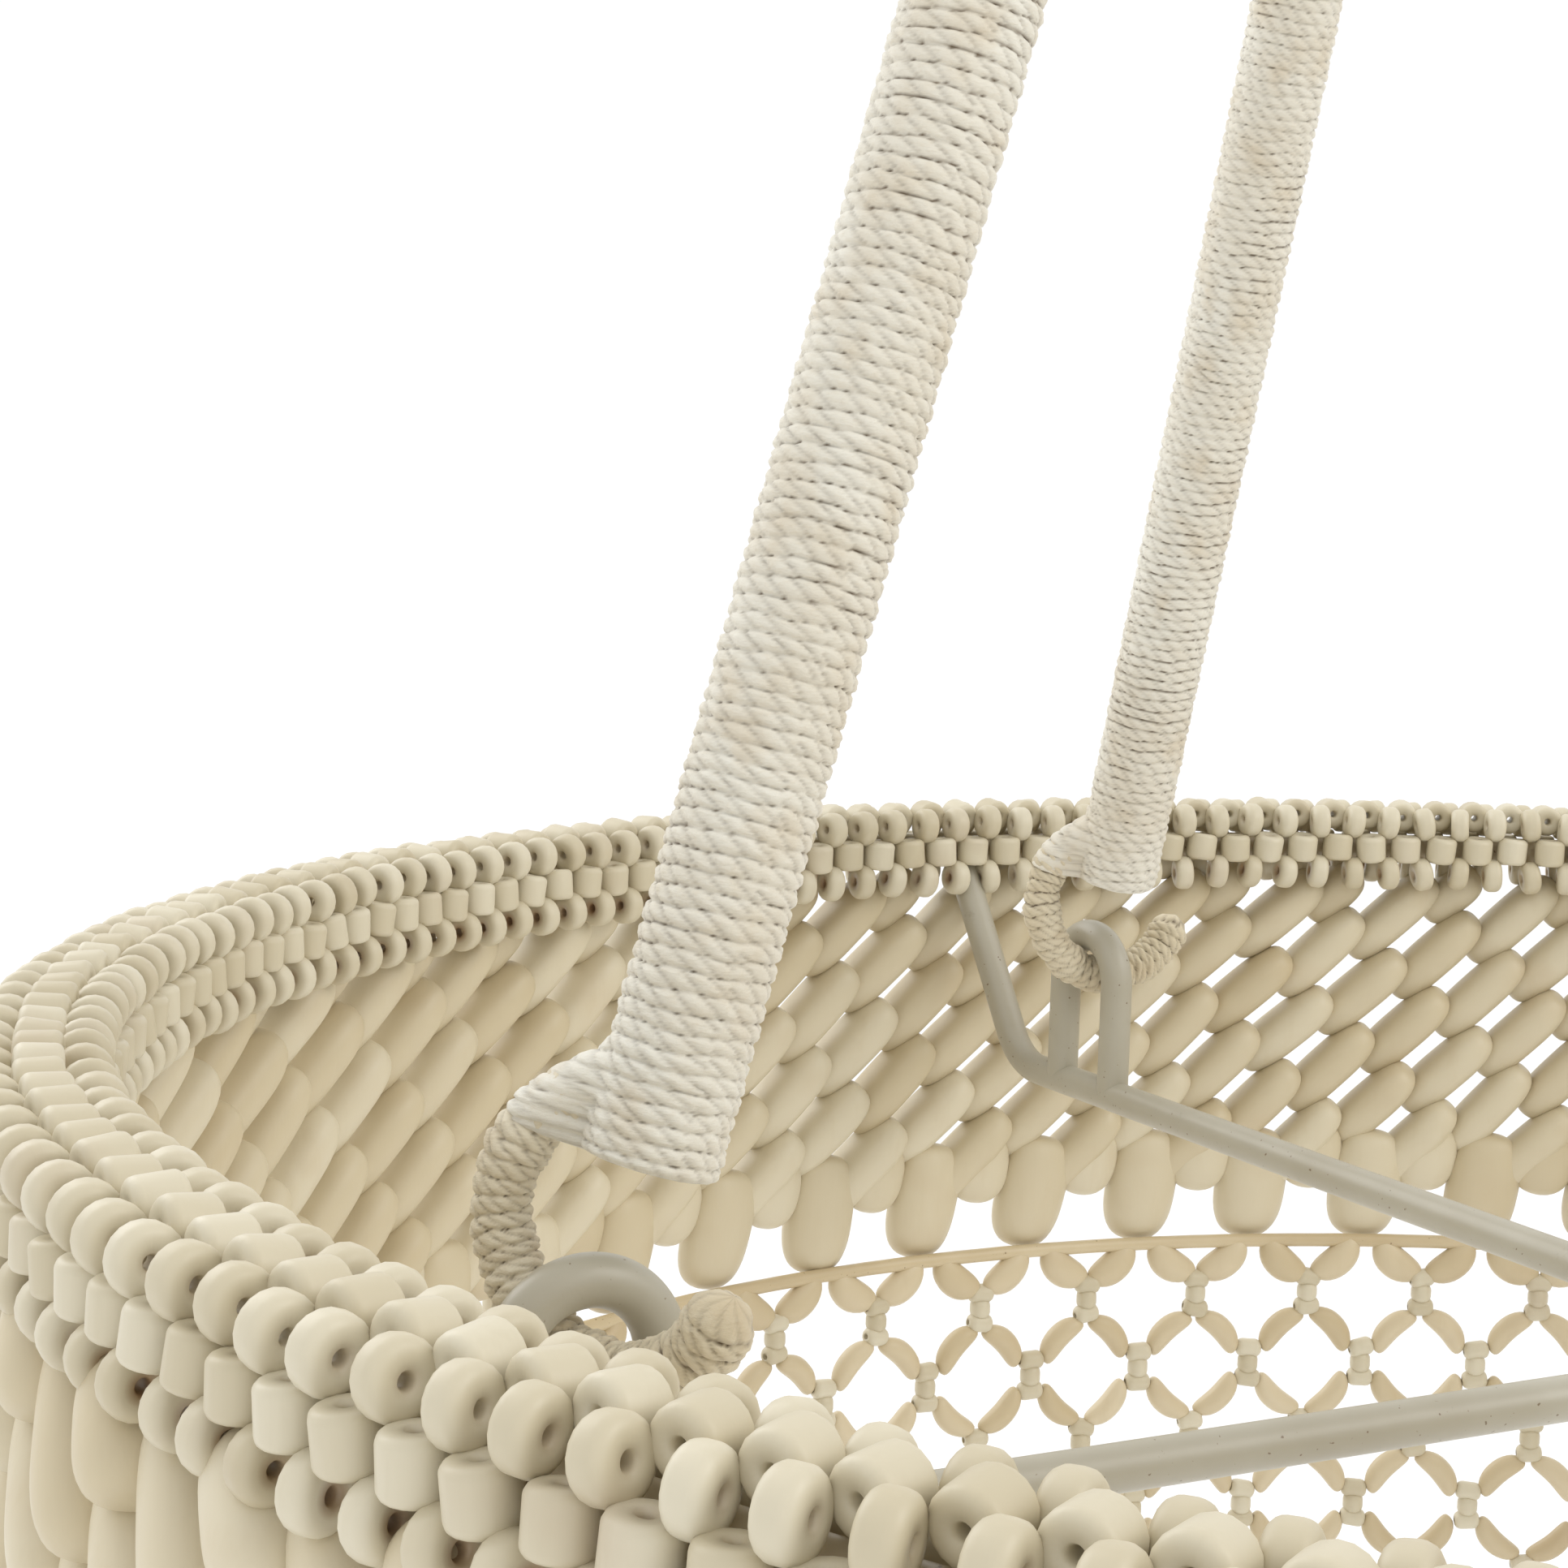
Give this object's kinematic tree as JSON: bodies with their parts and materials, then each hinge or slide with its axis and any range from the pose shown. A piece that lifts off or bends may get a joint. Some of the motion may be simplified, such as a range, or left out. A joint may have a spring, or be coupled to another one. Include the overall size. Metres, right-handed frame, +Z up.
{
  "type": "beaded hanging basket",
  "caption": "Round openwork basket of pale beads with slanted petal beads and a beaded net wall, hung by hooks from twine-wrapped rods that meet under a swivel ring.",
  "frame": {"origin": "the bearing point inside the top of the hanging ring, where the ceiling hook touches it", "axes": "+Z up; +X and +Y run from the centre line to the first and second rods"},
  "size_m": [0.5188, 0.5188, 0.903],
  "materials": {
    "painted_steel": "satin off-white paint",
    "plain_steel": "brushed",
    "twine": "two-ply twisted twine, matt",
    "small_beads": "whitewashed, satin",
    "petal_beads": "whitewashed, smooth satin",
    "net_beads": "whitewashed, satin"
  },
  "bodies": {
    "mount_ring": {"hanging_ring": "plain_steel"},
    "swivel": {"swivel_eye": "plain_steel", "swivel_nut": "plain_steel"},
    "hanger": {"crown_plate": "painted_steel", "rod_tube_1": "painted_steel", "rod_wrap_1": "twine", "hook_wire_1": "painted_steel", "hook_wrap_1": "twine", "rod_tube_2": "painted_steel", "rod_wrap_2": "twine", "hook_wire_2": "painted_steel", "hook_wrap_2": "twine", "rod_tube_3": "painted_steel", "rod_wrap_3": "twine", "hook_wire_3": "painted_steel", "hook_wrap_3": "twine", "rod_tube_4": "painted_steel", "rod_wrap_4": "twine", "hook_wire_4": "painted_steel", "hook_wrap_4": "twine"},
    "basket": {"arch_1": "painted_steel", "spoke_1": "painted_steel", "arch_2": "painted_steel", "spoke_2": "painted_steel", "arch_3": "painted_steel", "spoke_3": "painted_steel", "arch_4": "painted_steel", "spoke_4": "painted_steel", "centre_hub": "painted_steel", "rim_ring": "painted_steel", "rim_discs_outer": "small_beads", "rim_discs_inner": "small_beads", "rim_barrels_top": "small_beads", "collar_barrels_outer": "small_beads", "collar_discs_outer": "small_beads", "collar_barrels_inner": "small_beads", "collar_discs_inner": "small_beads", "petal_band": "petal_beads", "band_ring": "painted_steel", "net_row_0": "net_beads", "net_row_1": "net_beads", "net_row_2": "net_beads", "net_row_3": "net_beads", "net_row_4": "net_beads", "net_row_5": "net_beads", "net_row_6": "net_beads", "net_row_7": "net_beads", "net_row_8": "net_beads", "base_ring": "painted_steel", "base_discs": "small_beads"}
  },
  "joints": [
    {"name": "swing", "type": "hinge", "parent": "mount_ring", "child": "swivel", "pos_m": [0, 0, -0.032], "axis": [0, 1, 0], "range_deg": [-20, 20]},
    {"name": "turn", "type": "hinge", "parent": "swivel", "child": "hanger", "pos_m": [0, 0, -0.0575], "axis": [0, 0, 1], "continuous": true},
    {"name": "unhook_lift", "type": "slide", "parent": "hanger", "child": "basket", "axis": [0, 0, 1], "range_m": [0, 0.008]}
  ]
}
